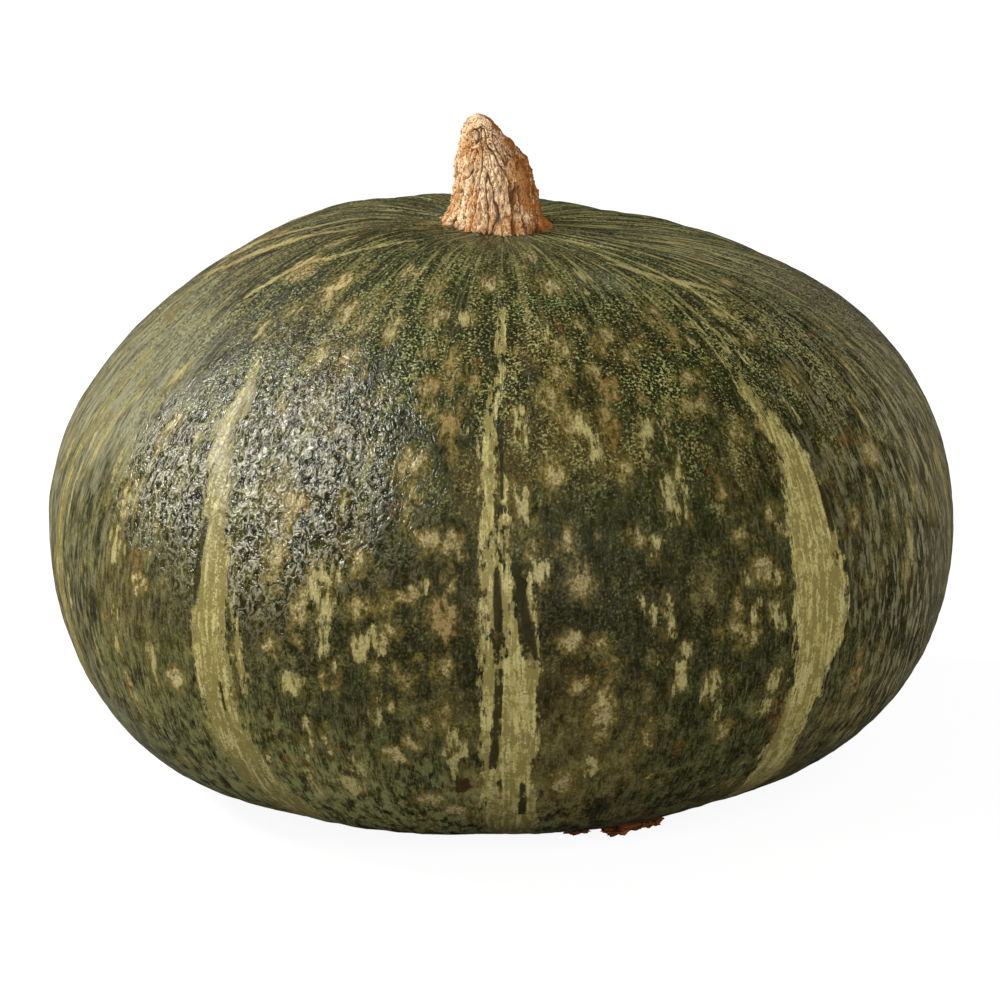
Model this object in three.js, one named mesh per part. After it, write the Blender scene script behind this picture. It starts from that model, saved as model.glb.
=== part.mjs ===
// A kabocha squash: the squat fruit resting on its blossom end, and the corky stem it was cut with.
// Millimetres, +Z up. The origin is under the middle of the object, on the surface it rests on.
// Longitude 0 faces -Y and turns towards +X; latitude is -90 at the blossom end, +90 at the stem.
import * as THREE from "three";

// ---- Driving dimensions ----------------------------------------------------------------------
const WIDEST_RADIUS = 90; // the girth, before the furrows
const GIRTH_SEGMENTS = 80; // facets round the fruit
const GIRTH_RINGS = 42; // facets from the blossom end to the stem

// The profile from the blossom end to the stem is a circle's sine and cosine with a third harmonic,
// so it is smooth everywhere. Each figure is [middle, change from middle to crown], and the sideways
// figures are added on the right flank and taken off on the left, which leaves the fruit lopsided.
const PROFILE = {
  rise: [61, 7.5],
  riseSideways: [-3.4, -3.8],
  fullness: [0.02, -0.022], // 0 is an ellipse, and more is squarer
  fullnessSideways: [0.008, 0.023],
  crownForward: 1.6, // how much higher the crown is at the front than on the axis
  leanRadius: 30, // the lopsidedness sets in over this distance from the axis
};
const REST_DEPTH = 51.8; // the blossom end is flat, this far below the fruit's middle

const STEM_DIMPLE = { depth: 7.6, radius: 32 };
const BLOSSOM_DIMPLE = { depth: 2.8, radius: 15 };

// Ten shallow furrows run from stem to blossom end, one under each pale stripe.
const FURROW_LONGITUDES = [-75, -39, -1, 42, 80, 114, 149, 184, 218, 251];
const FURROW_WIDTH = 9; // degrees of longitude
const FURROW_DEPTH = { girth: 0.5, shoulder: 1.2 };

const STEM = {
  height: 22.4, // dimple to tip
  waistRadius: 7.9,
  footFlare: 2.9, // how far the foot spreads past the waist
  flareHeight: 0.15, // share of the height over which the spread dies away
  roundOff: 3.4, // a higher power keeps the end blunter
  offset: -1.1, // from the fruit's axis, towards +X
  lean: -2.2, // how far the tip leans, towards +X
  slant: 1.8, // how much lower the cut end is on the right
  ridges: 5,
  ridgeHeight: 0.35,
  seat: 0.3, // clearance over the rind
  segments: 30,
  rings: 14,
  seatRings: 5,
};

const HALVINGS = 40; // steps in finding the rind at a given distance from the axis

const RIND_COLOUR = 0x3c4226;
const CORK_COLOUR = 0xb9935f;

const radians = THREE.MathUtils.degToRad;
const smooth = THREE.MathUtils.smoothstep;

const bell = (distance, spread) => Math.exp(-((distance / spread) ** 2));

// ---- The fruit -------------------------------------------------------------------------------

/** How far the nearest furrow presses the rind in at a longitude and latitude in radians. */
function furrowDepth(longitude, latitude) {
  const degrees = THREE.MathUtils.radToDeg(longitude);
  const shoulder = Math.max(0, Math.sin(2 * latitude));
  const depth = THREE.MathUtils.lerp(FURROW_DEPTH.girth, FURROW_DEPTH.shoulder, shoulder);
  let groove = 0;
  for (const furrow of FURROW_LONGITUDES) {
    const apart = THREE.MathUtils.euclideanModulo(degrees - furrow + 180, 360) - 180;
    groove = Math.max(groove, bell(apart, FURROW_WIDTH));
  }
  return depth * groove;
}

/** The rind at a longitude and latitude in radians, measured from the fruit's middle. */
function rindPoint(longitude, latitude) {
  const across = Math.cos(latitude);
  const along = Math.sin(latitude);
  const side = Math.sin(longitude);
  const front = Math.cos(longitude);
  const at = ([middle, change]) => middle + change * along;

  const fullness = at(PROFILE.fullness) + at(PROFILE.fullnessSideways) * side;
  let radius = WIDEST_RADIUS * (across + fullness * (across - Math.cos(3 * latitude)));
  const away = 1 - bell(radius, PROFILE.leanRadius);
  const lean = at(PROFILE.riseSideways) * side + PROFILE.crownForward * Math.max(0, along) * front;
  const rise = at(PROFILE.rise) + lean * away;
  let height = rise * (along + fullness * (along + Math.sin(3 * latitude)));
  if (latitude > 0) height -= STEM_DIMPLE.depth * bell(radius, STEM_DIMPLE.radius);

  const furrow = furrowDepth(longitude, latitude);
  height -= furrow * along * smooth(radius, 0, STEM_DIMPLE.radius);
  radius = Math.max(0, radius - furrow * across);
  height = Math.max(height, -REST_DEPTH);
  if (latitude < 0) {
    height += BLOSSOM_DIMPLE.depth * (1 - smooth(radius, 0, BLOSSOM_DIMPLE.radius));
  }
  return new THREE.Vector3(radius * side, -radius * front, height);
}

/** The height of the crown at a distance from the axis, towards a longitude. */
function crownHeight(distance, longitude) {
  let low = 0;
  let high = Math.PI / 2;
  for (let halving = 0; halving < HALVINGS; halving += 1) {
    const latitude = (low + high) / 2;
    const point = rindPoint(longitude, latitude);
    if (Math.hypot(point.x, point.y) > distance) low = latitude;
    else high = latitude;
  }
  return rindPoint(longitude, high).z;
}

// ---- Closed skins ----------------------------------------------------------------------------

/**
 * A closed skin through rings of points. Each ring is counter-clockwise from above, the rings run
 * upwards, and the first and last close on a single point each.
 */
function closedSkin(bottom, rings, top) {
  const across = rings[0].length;
  const points = [bottom, ...rings.flat(), top];
  const at = (ring, step) => 1 + ring * across + (step % across);
  const faces = [];
  for (let step = 0; step < across; step += 1) {
    faces.push(0, at(0, step + 1), at(0, step));
    faces.push(points.length - 1, at(rings.length - 1, step), at(rings.length - 1, step + 1));
    for (let ring = 0; ring + 1 < rings.length; ring += 1) {
      faces.push(at(ring, step), at(ring, step + 1), at(ring + 1, step + 1));
      faces.push(at(ring, step), at(ring + 1, step + 1), at(ring + 1, step));
    }
  }
  const geometry = new THREE.BufferGeometry().setFromPoints(points);
  geometry.setIndex(faces);
  geometry.computeVertexNormals();
  return geometry;
}

/** A ring of points, one for each of `segments` equal steps of longitude. */
function ringOf(segments, pointAt) {
  return Array.from({ length: segments }, (_, step) => pointAt((2 * Math.PI * step) / segments));
}

function fruitGeometry() {
  const rings = [];
  for (let ring = 1; ring < GIRTH_RINGS; ring += 1) {
    const latitude = radians(-90 + (180 * ring) / GIRTH_RINGS);
    rings.push(ringOf(GIRTH_SEGMENTS, (longitude) => rindPoint(longitude, latitude)));
  }
  return closedSkin(rindPoint(0, radians(-90)), rings, rindPoint(0, radians(90)));
}

// ---- The stem --------------------------------------------------------------------------------

/** The stem's radius at a share of its height, from 0 at the foot to 1 at the tip. */
function stemRadius(share, longitude) {
  const waist = STEM.waistRadius * Math.sqrt(1 - share ** STEM.roundOff);
  const flare = STEM.footFlare * Math.exp(-share / STEM.flareHeight);
  const ridge = STEM.ridgeHeight * Math.cos(STEM.ridges * longitude) * (waist / STEM.waistRadius);
  return waist + flare + ridge;
}

/** A point on the stem's side, at a share of its height. */
function stemSide(share, longitude, floor) {
  const radius = stemRadius(share, longitude);
  const side = Math.sin(longitude);
  const drop = STEM.slant * share ** 3 * side * (radius / STEM.waistRadius);
  return new THREE.Vector3(
    STEM.offset + STEM.lean * share ** 3 + radius * side,
    -radius * Math.cos(longitude),
    THREE.MathUtils.lerp(floor, crownHeight(0, 0) + STEM.height, share) - drop,
  );
}

/** The height of the stem's underside at a point, just clear of the rind below it. */
function seatHeight(x, y) {
  return crownHeight(Math.hypot(x, y), Math.atan2(x, -y)) + STEM.seat;
}

function stemGeometry() {
  const footPoint = (longitude, share) => {
    const radius = stemRadius(0, longitude) * share;
    const x = STEM.offset + radius * Math.sin(longitude);
    const y = -radius * Math.cos(longitude);
    return new THREE.Vector3(x, y, seatHeight(x, y));
  };
  const rings = [];
  for (let ring = 1; ring <= STEM.seatRings; ring += 1) {
    rings.push(ringOf(STEM.segments, (longitude) => footPoint(longitude, ring / STEM.seatRings)));
  }
  const edge = rings[rings.length - 1];
  for (let ring = 1; ring < STEM.rings; ring += 1) {
    const share = Math.sin((0.5 * Math.PI * ring) / STEM.rings);
    rings.push(
      ringOf(STEM.segments, (longitude) => {
        const step = Math.round((longitude * STEM.segments) / (2 * Math.PI));
        return stemSide(share, longitude, edge[step].z);
      }),
    );
  }
  const tip = new THREE.Vector3(STEM.offset + STEM.lean, 0, crownHeight(0, 0) + STEM.height);
  return closedSkin(footPoint(0, 0), rings, tip);
}

// ---- The object ------------------------------------------------------------------------------

function piece(name, geometry, colour, roughness) {
  const material = new THREE.MeshStandardMaterial({ color: colour, roughness, metalness: 0 });
  const mesh = new THREE.Mesh(geometry, material);
  mesh.name = name;
  return mesh;
}

const squash = new THREE.Group();
squash.name = "kabocha_squash";
squash.add(piece("squash_body", fruitGeometry(), RIND_COLOUR, 0.45));
squash.add(piece("stem", stemGeometry(), CORK_COLOUR, 0.9));

// Stand the squash on the plane Z = 0, with the origin under the middle of its outline.
const extent = new THREE.Box3().setFromObject(squash);
const middle = extent.getCenter(new THREE.Vector3());
squash.position.set(-middle.x, -middle.y, -extent.min.z);

export default squash;
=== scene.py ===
"""A kabocha squash standing on a pale floor: the waxy, furrowed fruit and its dried, corky stem.

Sizes are in millimetres unless a name says otherwise, and meshes are in metres. Longitude 0 faces
the front of the fruit and grows towards +X. Latitude runs from -90 at the blossom end to +90 at the
stem.
"""

import ast
import logging
import math
import random
from collections.abc import Mapping, Sequence
from dataclasses import asdict, dataclass
from enum import Enum

import bpy
import numpy as np
from mathutils import Matrix, Vector, noise
from mathutils.bvhtree import BVHTree


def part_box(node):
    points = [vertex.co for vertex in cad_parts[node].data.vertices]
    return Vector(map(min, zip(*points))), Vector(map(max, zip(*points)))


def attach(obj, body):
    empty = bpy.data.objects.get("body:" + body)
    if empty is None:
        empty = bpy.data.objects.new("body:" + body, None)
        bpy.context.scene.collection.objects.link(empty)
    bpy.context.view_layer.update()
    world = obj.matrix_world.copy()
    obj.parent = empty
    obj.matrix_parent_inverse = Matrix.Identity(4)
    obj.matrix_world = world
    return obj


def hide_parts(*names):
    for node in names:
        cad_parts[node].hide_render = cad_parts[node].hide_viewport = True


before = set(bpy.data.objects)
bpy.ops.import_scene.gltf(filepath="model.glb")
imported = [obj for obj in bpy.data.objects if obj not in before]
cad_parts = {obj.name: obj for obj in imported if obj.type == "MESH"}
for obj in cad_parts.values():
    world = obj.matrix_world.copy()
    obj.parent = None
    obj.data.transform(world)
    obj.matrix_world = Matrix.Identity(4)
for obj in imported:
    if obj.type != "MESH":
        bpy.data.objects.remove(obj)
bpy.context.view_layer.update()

MM = 0.001

log = logging.getLogger("squash")

Socket = bpy.types.NodeSocket
Feed = bpy.types.Node | Socket | float | str | Sequence[float] | bpy.types.Material


# ---- Colours, nodes and objects ------------------------------------------------------------------


def linear(hex_colour: str) -> tuple[float, float, float, float]:
    """Turns an sRGB hex colour into linear light.

    Args:
        hex_colour: The colour as "#rrggbb".

    Returns:
        Red, green, blue and an alpha of 1.
    """
    channels = [int(hex_colour[start : start + 2], 16) / 255 for start in (1, 3, 5)]
    red, green, blue = (
        part / 12.92 if part <= 0.04045 else ((part + 0.055) / 1.055) ** 2.4 for part in channels
    )
    return red, green, blue, 1.0


def add_node(
    tree: bpy.types.NodeTree,
    kind: str,
    settings: Mapping[str, object] | None = None,
    feeds: Mapping[str | int, Feed] | None = None,
) -> bpy.types.Node:
    """Adds a node, sets its options and feeds its inputs.

    Args:
        tree: The tree the node goes into.
        kind: The node's type name.
        settings: Its options, by name.
        feeds: What each input gets, by its name or number: a value, a socket or a node, which
            gives its first output.

    Returns:
        The new node.
    """
    node = tree.nodes.new(kind)
    for name, value in (settings or {}).items():
        setattr(node, name, value)
    for name, value in (feeds or {}).items():
        if isinstance(value, bpy.types.Node):
            value = value.outputs[0]
        if isinstance(value, Socket):
            tree.links.new(value, node.inputs[name])
        else:
            node.inputs[name].default_value = value
    return node


OPERATORS = {
    ast.Add: "ADD",
    ast.Sub: "SUBTRACT",
    ast.Mult: "MULTIPLY",
    ast.Div: "DIVIDE",
    ast.Pow: "POWER",
    ast.Gt: "GREATER_THAN",
    ast.Lt: "LESS_THAN",
}
FUNCTIONS = {
    "sqrt": "SQRT",
    "exp": "EXPONENT",
    "abs": "ABSOLUTE",
    "max": "MAXIMUM",
    "min": "MINIMUM",
    "asin": "ARCSINE",
    "atan2": "ARCTAN2",
    "wrap": "WRAP",
}


def add_rules(tree: bpy.types.NodeTree, rules: str, known: dict[str, Feed]) -> None:
    """Writes lines of arithmetic as nodes, each of which may use the results of those before it.

    Args:
        tree: The tree the nodes go into.
        rules: The lines, such as "wide = 2*radius". clip() holds a sum or product between 0 and 1.
        known: The values that the lines may use, by name. Their results are added to it.
    """

    def join(operation: str, *parts: ast.expr) -> bpy.types.Node:
        """Adds the node for one operation on parts of a line."""
        feeds = dict(enumerate(build(part) for part in parts))
        return add_node(tree, "ShaderNodeMath", {"operation": operation}, feeds)

    def build(part: ast.expr) -> Feed:
        """Adds the nodes for part of a line.

        Args:
            part: The part.

        Returns:
            Its last node, or its value if it has no arithmetic.
        """
        if isinstance(part, ast.Constant):
            return float(part.value)
        if isinstance(part, ast.Name):
            return known[part.id]
        if isinstance(part, ast.UnaryOp):
            return join("MULTIPLY", part.operand, ast.Constant(-1))
        if isinstance(part, ast.BinOp):
            return join(OPERATORS[type(part.op)], part.left, part.right)
        if isinstance(part, ast.Compare):
            return join(OPERATORS[type(part.ops[0])], part.left, part.comparators[0])
        if part.func.id == "clip":
            node = build(part.args[0])
            node.use_clamp = True
            return node
        return join(FUNCTIONS[part.func.id], *part.args)

    for line in ast.parse(rules).body:
        known[line.targets[0].id] = build(line.value)


class Place(Enum):
    """What a grain pattern is laid out on."""

    OBJECT = "the object's own coordinates"
    FIBRE = "fibre_place"  # round the fruit at its girth, and along its meridians


@dataclass(frozen=True)
class Grain:
    """A random pattern with its real size.

    Attributes:
        across: Size of its patches in mm, round the fruit.
        along: Size of its patches in mm, along the meridians.
        place: What it is laid out on.
        detail: How many times finer patches are added to it.
        rough: How strong the finer patches are.
        shift: Moves the pattern, so that two alike differ.
        warp: How far it is bent by itself.
    """

    across: float
    along: float
    place: Place = Place.FIBRE
    detail: float = 2.0
    rough: float = 0.5
    shift: float = 0.0
    warp: float = 0.0


def add_grains(
    tree: bpy.types.NodeTree, grains: Mapping[str, Grain], places: Mapping[Place, Feed]
) -> dict[str, Feed]:
    """Adds random patterns to a tree.

    Args:
        tree: The tree the nodes go into.
        grains: The patterns, by name.
        places: The coordinates in mm for each place.

    Returns:
        Each pattern's value from about 0 to 1, by name.
    """
    values: dict[str, Feed] = {}
    for name, grain in grains.items():
        scale = (1 / grain.across, 1 / grain.across, 1 / grain.along)
        feeds = {0: places[grain.place], 1: scale, 2: (grain.shift,) * 3}
        laid = add_node(tree, "ShaderNodeVectorMath", {"operation": "MULTIPLY_ADD"}, feeds)
        feeds = {"Vector": laid, "Scale": 1.0, "Detail": grain.detail, "Roughness": grain.rough}
        feeds["Distortion"] = grain.warp
        values[name] = add_node(tree, "ShaderNodeTexNoise", None, feeds)
    return values


def emptied(owner: bpy.types.Material | bpy.types.World) -> bpy.types.NodeTree:
    """Readies a new material or world for nodes.

    Args:
        owner: The material or world.

    Returns:
        Its node tree, empty.
    """
    owner.use_nodes = True
    owner.node_tree.nodes.clear()
    return owner.node_tree


def add_object(name: str, data: bpy.types.ID) -> bpy.types.Object:
    """Adds an object to the scene.

    Args:
        name: What it is.
        data: Its mesh, lamp or camera.

    Returns:
        The object, at the origin.
    """
    thing = bpy.data.objects.new(name, data)
    bpy.context.scene.collection.objects.link(thing)
    return thing


def store_values(mesh: bpy.types.Mesh, values: Mapping[str, Sequence[float]]) -> None:
    """Stores values on a mesh's points, by name."""
    for name, numbers in values.items():
        mesh.attributes.new(name, "FLOAT", "POINT").data.foreach_set("value", numbers)


def wrapped(angle: np.ndarray) -> np.ndarray:
    """Brings angles in degrees between -180 and 180."""
    return (angle + 180) % 360 - 180


def direction(longitude: float, latitude: float) -> Vector:
    """Finds the way from the fruit's middle towards a longitude and latitude.

    Args:
        longitude: Degrees.
        latitude: Degrees.

    Returns:
        The way, 1 long.
    """
    turn, lift = math.radians(longitude), math.radians(latitude)
    out = math.cos(lift)
    return Vector((math.sin(turn) * out, -math.cos(turn) * out, math.sin(lift)))


# ---- Finishes ------------------------------------------------------------------------------------


@dataclass(frozen=True)
class Finish:
    """A material whose colours are laid over one another where its rules say.

    Attributes:
        name: What it is.
        tone: Its lowest colour as sRGB hex.
        layers: The colours laid over it in turn, each after the name of the value that says where.
        grains: Its random patterns, each after its name.
        stored: The names of the values on the mesh that its rules use.
        rules: The arithmetic of its layers, of its surface's "height" and of its "dullness".
        bump: The surface's height in mm where "height" is 1.
        gloss: How strongly it mirrors.
    """

    name: str
    tone: str
    layers: tuple[tuple[str, str], ...]
    grains: tuple[tuple[str, Grain], ...]
    stored: tuple[str, ...]
    rules: str
    bump: float
    gloss: float

    def make(self) -> bpy.types.Material:
        """Builds the material.

        Returns:
            The material.
        """
        material = bpy.data.materials.new(self.name)
        tree = emptied(material)
        feeds = {0: add_node(tree, "ShaderNodeTexCoord").outputs["Object"], "Scale": 1 / MM}
        in_mm = add_node(tree, "ShaderNodeVectorMath", {"operation": "SCALE"}, feeds)
        places = {Place.OBJECT: in_mm}
        if any(grain.place is Place.FIBRE for _, grain in self.grains):
            fibre = add_node(tree, "ShaderNodeAttribute", {"attribute_name": Place.FIBRE.value})
            places[Place.FIBRE] = fibre.outputs["Vector"]
        known = add_grains(tree, dict(self.grains), places)
        for name in self.stored:
            stored = add_node(tree, "ShaderNodeAttribute", {"attribute_name": name})
            known[name] = stored.outputs["Fac"]
        add_rules(tree, self.rules, known)
        paint: Feed = linear(self.tone)
        settings = {"data_type": "RGBA", "clamp_factor": True}
        for mask, colour in self.layers:
            feeds = {0: known[mask], 6: paint, 7: linear(colour)}
            paint = add_node(tree, "ShaderNodeMix", settings, feeds).outputs[2]
        feeds = {"Strength": 1.0, "Distance": self.bump * MM, "Height": known["height"]}
        feeds = {"Normal": add_node(tree, "ShaderNodeBump", None, feeds), "Base Color": paint}
        feeds |= {"Roughness": known["dullness"], "Specular IOR Level": self.gloss}
        shader = add_node(tree, "ShaderNodeBsdfPrincipled", None, feeds)
        add_node(tree, "ShaderNodeOutputMaterial", None, {"Surface": shader})
        return material


class Mark(Enum):
    """A kind of mark on the rind. Each is stored on the mesh as mm outside its edge."""

    BAND = "band_line"
    SLIT = "slit_line"
    # Painted shade of a crease.
    CREASE = "crease_line"
    PALE = "pale_fleck"
    TAN = "tan_fleck"
    RUST = "rust_fleck"
    GOLD = "gold_fleck"
    RAY = "ray_line"
    SCAB = "scab_fleck"
    SCAR = "scar_line"


class Field(Enum):
    """Where on the fruit a point is, stored on the mesh from 0 to 1."""

    CRINKLE = "crinkle_share"  # 1 on the shoulder whose crinkle is the deepest, where the crinkle's painted highlight and painted shade are strongest
    CROWN = "crown_share"  # latitude, from 0 at the girth to 1 at the stem
    SUN = "sun_side"  # 1 on the side that faced the sun and is paler
    BASE = "base_share"  # latitude, from 0 at the girth to 1 at the blossom end
    GIRTH = "girth_share"  # 1 round the front of the girth, where painted shade darkens the green
    BLOOM = "wax_bloom"  # 1 where a dull bloom of wax fills the crinkles, and where a pale grey sheen is painted
    FLANK = "flank_share"  # 0 at the front and the back, 1 at the left and the right


# Painted pale grey sheen near the edges of the flanks.
# Painted shade in the crinkle's valleys, and a painted highlight on its crests.
# Painted shade of the creases beside the pale lines.
# Painted shade round the front of the girth.
# Paler rind on the sunny side, stronger towards the blossom end, with a painted highlight added
# where the crinkle is deepest.
# The crinkle, with painted shade in its valleys and a painted highlight on its crests, the grit and
# the fine rays on the crown.
# The fibrous flanks, with a painted pale grey sheen near their left and right edges.
# The ground colours, among them painted shade round the front of the girth, a painted grey sheen on
# the waxy bloom and a painted highlight in the paler rind where the crinkle is deepest.
# The waxy bloom flattens the crinkle and is painted with a pale grey sheen.
RIND_RULES = """
# The ground colours.
top = clip((crown_share - 0.5) / 0.25)
crown_green = clip((crown_share - 0.58) / 0.2) * (0.75 - 0.5*sun_side)
olive = clip((0.5*blotch + 0.5*mottle + 0.3*cloud - 0.62) / 0.16) * (0.4 + 0.3*sun_side)
leafy = clip((0.51 - 0.5*cloud - 0.5*ragged) / 0.06) * (0.15 + 0.65*clip(2*crown_share - 0.3))
brown = clip((0.6*cloud + 0.4*blotch - 0.5) / 0.08) * 0.5
bleach = (clip((1.3 - 1.6*crown_share)*sun_side + 0.6*crinkle_share + 3*(cloud - 0.5)
    + 3*(blotch - 0.5) + 3*(mottle - 0.5) - 0.4) * (0.4 + 1.2*base_share))
deep = clip((0.5 - 0.4*blotch - 0.6*mottle) / 0.1) * (0.6 + 0.25*crown_share)
girth_shade = girth_share * 0.6
base_fibre = (clip((0.5*thread + 0.5*mottle - 0.46) / 0.08) * clip(2.4*base_share - 0.1)
    * (0.28 + 0.62*sun_side))
bloomed = clip((1.4*wax_bloom + 1.5*(blotch - 0.5) - 0.2) * min(wax_bloom*3, 1))
# The fibrous flanks.
thready = 0.08 + 0.3*flank_share*flank_share*(1 - 0.7*top)
stranded = clip(1.7*flank_share*flank_share - 0.7) * (1 - 0.6*top)
edge_pale = (clip((flank_share - 0.86) / 0.14 + 3*(blotch - 0.5)) * clip(4*flank_share - 3)
    * (0.45 - 0.25*sun_side))
strand_light = clip((strand - 0.505) / 0.07) * stranded * (0.85 - 0.45*sun_side)
strand_dark = clip((0.47 - strand) / 0.05) * stranded * 0.7
thread_light = clip((thread - 0.51) / 0.1) * thready * 0.75
thread_dark = clip((0.47 - thread) / 0.08) * thready * 0.75
# The crinkle, the grit and the fine rays on the crown.
ridge = 1 - 6*abs(worm - 0.5)
fine_ridge = 1 - 6*abs(wrinkle - 0.5)
crinkle = 0.7*ridge + 0.3*fine_ridge
valley = clip(1.3 - 3*crinkle) * (0.3 + 0.6*crinkle_share)
crest = clip(3*crinkle - 1.8) * (0.03 + 0.65*crinkle_share*crinkle_share)
gritty = (clip(3.2*crown_share - 0.8 + 2.5*(blotch - 0.5)) * (1 - 0.6*crinkle_share)
    * (1 - 0.15*top))
pepper = clip((0.48 - speck) / 0.05) * (0.1 + 0.75*gritty)
salt = clip((speck + 0.3*blotch - 0.7) / 0.08) * (0.08 + 0.72*gritty) * (1 - 0.3*sun_side)
dab = clip((0.5*mottle + 0.3*blotch + 0.3*speck - 0.6 + 0.02*sun_side) / 0.08) * (0.3 + 0.4*gritty)
ray_light = (clip((ray - 0.54) / 0.06) * clip((crown_share - 0.55) / 0.2)
    * (0.2 + 0.7*flank_share) * (1 - 0.6*sun_side))
ray_dark = clip((0.46 - ray) / 0.05) * top * (0.2 + 0.55*flank_share)
# The flecks and the lines from the stem.
wild = 11*(feather - 0.5) + 6*(mottle - 0.5)
grainy = clip(0.5 + 4*(speck - 0.5) + 0.4*(crinkle - 0.5))
halo = clip((1.3 - min(pale_fleck, tan_fleck) - wild) / 2.2) * (0.45 + 0.45*grainy)
tan = clip((0.3 - tan_fleck - 0.7*wild) / 1.8) * (0.22 + 0.55*grainy + 0.15*sun_side)
cream = (clip((-0.5 - max(tan_fleck, -1.1) - 0.6*wild) / 0.8)
    * (0.08 + 0.32*grainy + 0.3*top + 0.25*sun_side))
rust = clip((0.2 - rust_fleck - wild) / 3) * (0.3 + 0.5*grainy)
ray_line_on = clip((0.3 - ray_line - 0.3*wild) / 0.5)
ray_pale = ray_line_on * (0.55 + 0.4*grainy)
ray_warm = ray_line_on * clip((mottle - 0.48) / 0.08) * (0.2 + 0.4*sun_side)
gold = clip((0.3 - gold_fleck - 0.7*wild) / 1.6) * (0.2 + 0.6*grainy)
# The pale flecks and the bands, which are torn along the fibres.
torn = 7*(ragged - 0.5) + 4*(feather - 0.5)
pale = clip((0.2 - pale_fleck - torn) / 0.9) * (0.52 + 0.38*grainy)
band_edge = clip((0.2 - band_line - torn) / 0.8)
band = band_edge * (0.95 - 0.4*crinkle_share)
band_light = band_edge * clip((0.5*streak + 0.2*mottle + 0.3*speck - 0.52) / 0.05) * 0.6
band_dim = band_edge * (0.45*sun_side + clip((0.5*mottle + 0.5*blotch - 0.47) / 0.2) * 0.4)
band_dark = (band_edge * clip((0.515 + 0.015*sun_side - 0.3*streak - 0.3*feather - 0.2*mottle
    - 0.2*speck) / 0.04) * 0.75)
crease = clip((0.2 - crease_line - 0.3*torn) / 0.5) * 0.85
slit = clip((0.35 - slit_line - 0.25*torn) / 0.4) * 0.95
scab = clip((0.2 - scab_fleck - wild) / 0.8) * 0.85
scar = clip((0.3 - scar_line - wild) / 1.2)
# The surface, which is glossiest on the crinkled green and dullest on the corky marks.
smooth = max(band_edge, pale)
height = crinkle * (1 - 0.5*smooth) * (1 - 0.9*bloomed) * (0.3 + 0.7*crinkle_share)
dullness = (0.2 + 0.22*smooth + 0.18*(1 - crinkle_share)*(1 - smooth)
    + 0.16*clip(4*crown_share - 2))
"""


@dataclass(frozen=True)
class WaxyRind(Finish):
    """The ripe rind: hard, waxy skin with a leathery crinkle, dark green with pale corky marks.

    The wax gives a broad soft sheen that the crinkle breaks into sparks. Some colours are painted
    light: a highlight on the crinkle's crests, a pale sheen on the waxy bloom and the flanks'
    edges, and shade in the crinkle's valleys, round the girth and beside the rays.
    """

    name: str = "waxy_squash_rind"
    tone: str = "#282808"
    layers: tuple[tuple[str, str], ...] = (
        # Some of these colours are painted light: the crests' highlight, the sheen of the bloom and
        # of the flanks' edges, and the shade of the valleys, the girth and the creases.
        ("crown_green", "#474d15"), ("olive", "#4b4b1e"), ("bleach", "#57591f"),
        ("leafy", "#2b330e"), ("brown", "#59431a"), ("deep", "#141503"),
        ("girth_shade", "#191604"), ("base_fibre", "#8b8a58"), ("bloomed", "#7d7c60"),
        ("thread_light", "#938b60"), ("thread_dark", "#26230c"), ("strand_light", "#a39c76"),
        ("strand_dark", "#201d0b"), ("edge_pale", "#8f8768"), ("valley", "#100e03"),
        ("crest", "#c2bca4"), ("pepper", "#101203"), ("salt", "#a8ac6c"), ("dab", "#857b46"),
        ("ray_light", "#a8a25e"), ("ray_dark", "#1c1f08"), ("halo", "#5f521f"), ("tan", "#82713e"),
        ("cream", "#c6b787"), ("rust", "#7d5420"), ("ray_pale", "#ab9f66"),
        ("ray_warm", "#a3743a"), ("gold", "#c2a86e"), ("pale", "#a89d66"), ("band", "#a09458"),
        ("band_dim", "#7c7444"), ("band_light", "#b8ad78"), ("band_dark", "#6c6130"),
        ("crease", "#1f1606"), ("slit", "#25230c"), ("scab", "#38200f"), ("scar", "#9a7648"),
    )
    grains: tuple[tuple[str, Grain], ...] = (
        ("cloud", Grain(24, 36, Place.OBJECT, 3, 0.55)),
        ("blotch", Grain(6, 12, detail=4, rough=0.6, shift=7)),
        ("mottle", Grain(2.4, 4.2, detail=3, rough=0.55, shift=3)),
        ("thread", Grain(0.5, 3.2, detail=3, rough=0.6, shift=11, warp=0.9)),
        ("strand", Grain(1.2, 6, detail=3, rough=0.6, shift=41, warp=0.4)),
        ("ray", Grain(1.5, 20, detail=4, rough=0.6, shift=19)),
        ("speck", Grain(0.52, 0.52, Place.OBJECT, 3, 0.6, 5)),
        ("ragged", Grain(1.3, 5, detail=4, rough=0.65, shift=17)),
        ("feather", Grain(1.6, 2.4, detail=5, rough=0.7, shift=23)),
        ("streak", Grain(0.9, 12, detail=3, rough=0.6, shift=29)),
        ("worm", Grain(1.9, 2.7, detail=2, rough=0.5, shift=31, warp=0.6)),
        ("wrinkle", Grain(0.9, 0.9, Place.OBJECT, 2, 0.5, 47, 0.4)),
    )
    stored: tuple[str, ...] = tuple(item.value for item in (*Mark, *Field))
    rules: str = RIND_RULES
    bump: float = 0.28
    gloss: float = 0.6


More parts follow.
